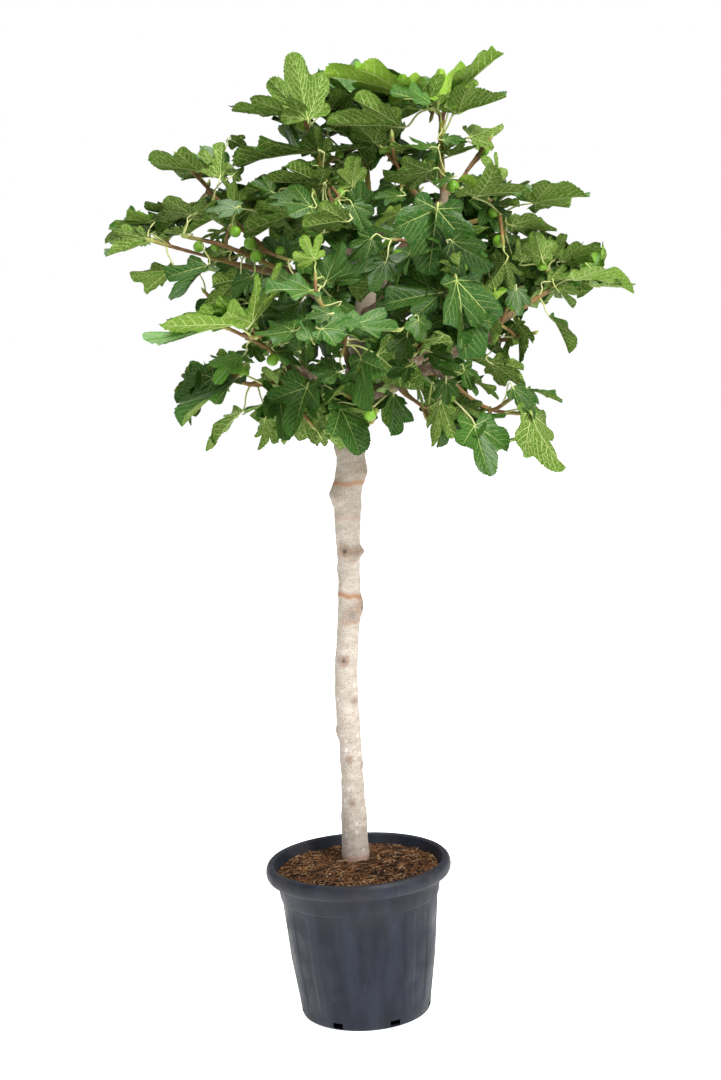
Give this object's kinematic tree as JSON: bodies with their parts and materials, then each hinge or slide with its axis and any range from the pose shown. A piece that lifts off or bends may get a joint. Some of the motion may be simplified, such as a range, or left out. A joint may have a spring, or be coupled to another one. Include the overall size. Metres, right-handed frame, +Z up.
{
  "type": "fig tree in a pot",
  "caption": "Potted fig grown as a standard: a clear leaning stem, spreading boughs and a wide rounded head of lobed leaves, in a round ribbed plastic nursery pot of soil.",
  "frame": {"origin": "centre of the pot's flat underside, where it stands on the floor", "axes": "+Z up; -Y the front of the tree, +X to the right seen from the front, the side that the stem leans to"},
  "size_m": [1.1384, 1.0811, 2.1206],
  "materials": {
    "pot": "dark slate plastic with a dull sheen and dusty scuffs",
    "soil": "coarse brown peat and fibre",
    "bark": "pale smooth bark with fine specks and knots",
    "bough": "grey brown bark",
    "foliage": "dark green leaves with pale veins"
  },
  "bodies": {
    "root": {"pot": "pot", "soil": "soil", "trunk": "bark", "bough_right": "bough", "bough_left_low": "bough", "bough_left": "bough", "bough_leader": "bough", "bough_left_top": "bough", "bough_front": "bough", "bough_front_right": "bough", "bough_front_top": "bough", "bough_back_right": "bough", "bough_back": "bough", "bough_back_left": "bough", "bough_back_top": "bough", "bough_foot_front": "bough", "bough_foot_right": "bough", "bough_right_low": "bough", "bough_foot_middle": "bough", "bough_foot_left": "bough", "bough_front_left": "bough", "bough_left_far": "bough", "bough_left_up": "bough", "bough_top_middle": "bough", "bough_right_up": "bough", "bough_right_high": "bough", "bough_middle": "bough", "bough_back_right_low": "bough", "bough_back_left_low": "bough", "bough_back_high": "bough", "bough_back_left_high": "bough", "foliage_right": "foliage", "foliage_left_low": "foliage", "foliage_left": "foliage", "foliage_leader": "foliage", "foliage_left_top": "foliage", "foliage_front": "foliage", "foliage_front_right": "foliage", "foliage_front_top": "foliage", "foliage_back_right": "foliage", "foliage_back": "foliage", "foliage_back_left": "foliage", "foliage_back_top": "foliage", "foliage_foot_front": "foliage", "foliage_foot_right": "foliage", "foliage_right_low": "foliage", "foliage_foot_middle": "foliage", "foliage_foot_left": "foliage", "foliage_front_left": "foliage", "foliage_left_far": "foliage", "foliage_left_up": "foliage", "foliage_top_middle": "foliage", "foliage_right_up": "foliage", "foliage_right_high": "foliage", "foliage_middle": "foliage", "foliage_back_right_low": "foliage", "foliage_back_left_low": "foliage", "foliage_back_high": "foliage", "foliage_back_left_high": "foliage"}
  },
  "joints": []
}
